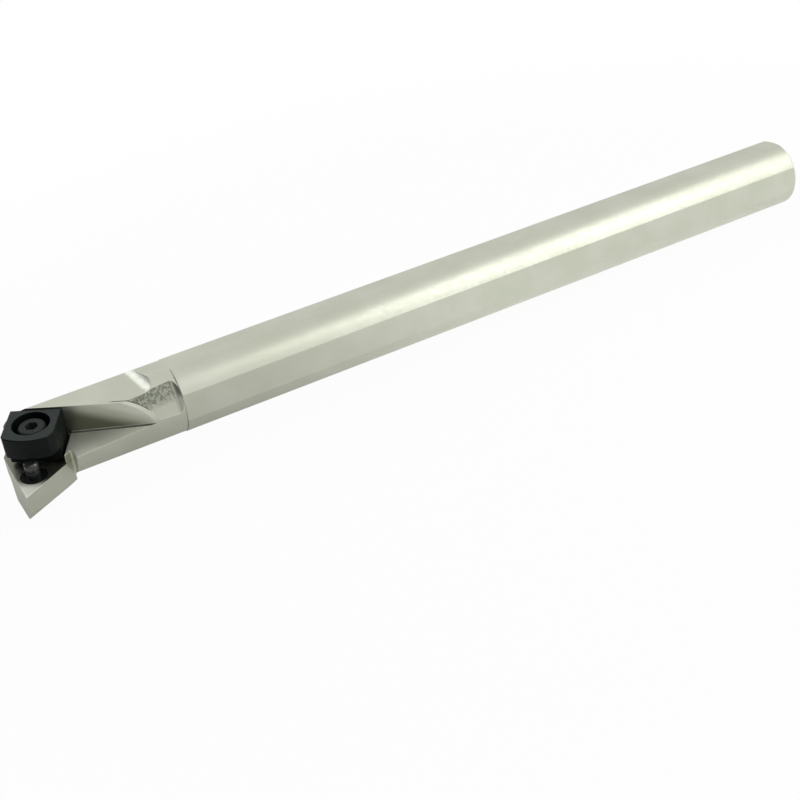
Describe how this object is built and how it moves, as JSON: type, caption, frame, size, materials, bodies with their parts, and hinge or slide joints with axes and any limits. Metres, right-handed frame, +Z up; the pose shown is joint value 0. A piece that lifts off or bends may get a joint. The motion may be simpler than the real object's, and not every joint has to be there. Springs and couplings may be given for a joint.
{
  "type": "boring bar",
  "caption": "Round steel boring bar with shank flats and an angled head holding a triangular insert pocket, locating pin and screw-down wedge clamp.",
  "frame": {"origin": "centre of the shank's rear face, on the shank's axis", "axes": "+X along the shank's axis, out of the rear face, so the head is at -X; -Y towards the cutting side; +Z up, out of the insert's top side"},
  "size_m": [0.25, 0.0237, 0.0246],
  "materials": {
    "nickel_plated_steel": "satin nickel plating over machined steel",
    "black_oxide_steel": "black oxide, slightly oily",
    "screw_steel": "black oxide screw steel",
    "pin_steel": "hardened steel, dark with a worn bright cap"
  },
  "bodies": {
    "bar": {"bar_body": "nickel_plated_steel", "locating_pin": "pin_steel"},
    "clamp": {"wedge_clamp": "black_oxide_steel"},
    "screw": {"clamp_screw": "screw_steel"}
  },
  "joints": [
    {"name": "clamp_lift", "type": "slide", "parent": "bar", "child": "clamp", "axis": [0, -0.1392, 0.9903], "range_m": [0, 0.0025]},
    {"name": "screw_turn", "type": "hinge", "parent": "clamp", "child": "screw", "pos_m": [-0.24201, -0.00142, 0.00687], "axis": [0, -0.1392, 0.9903], "range_deg": [0, 1287]}
  ],
  "couplings": [
    {"joint": "screw_turn", "follows": "clamp_lift", "rad_per_m": 8976}
  ]
}
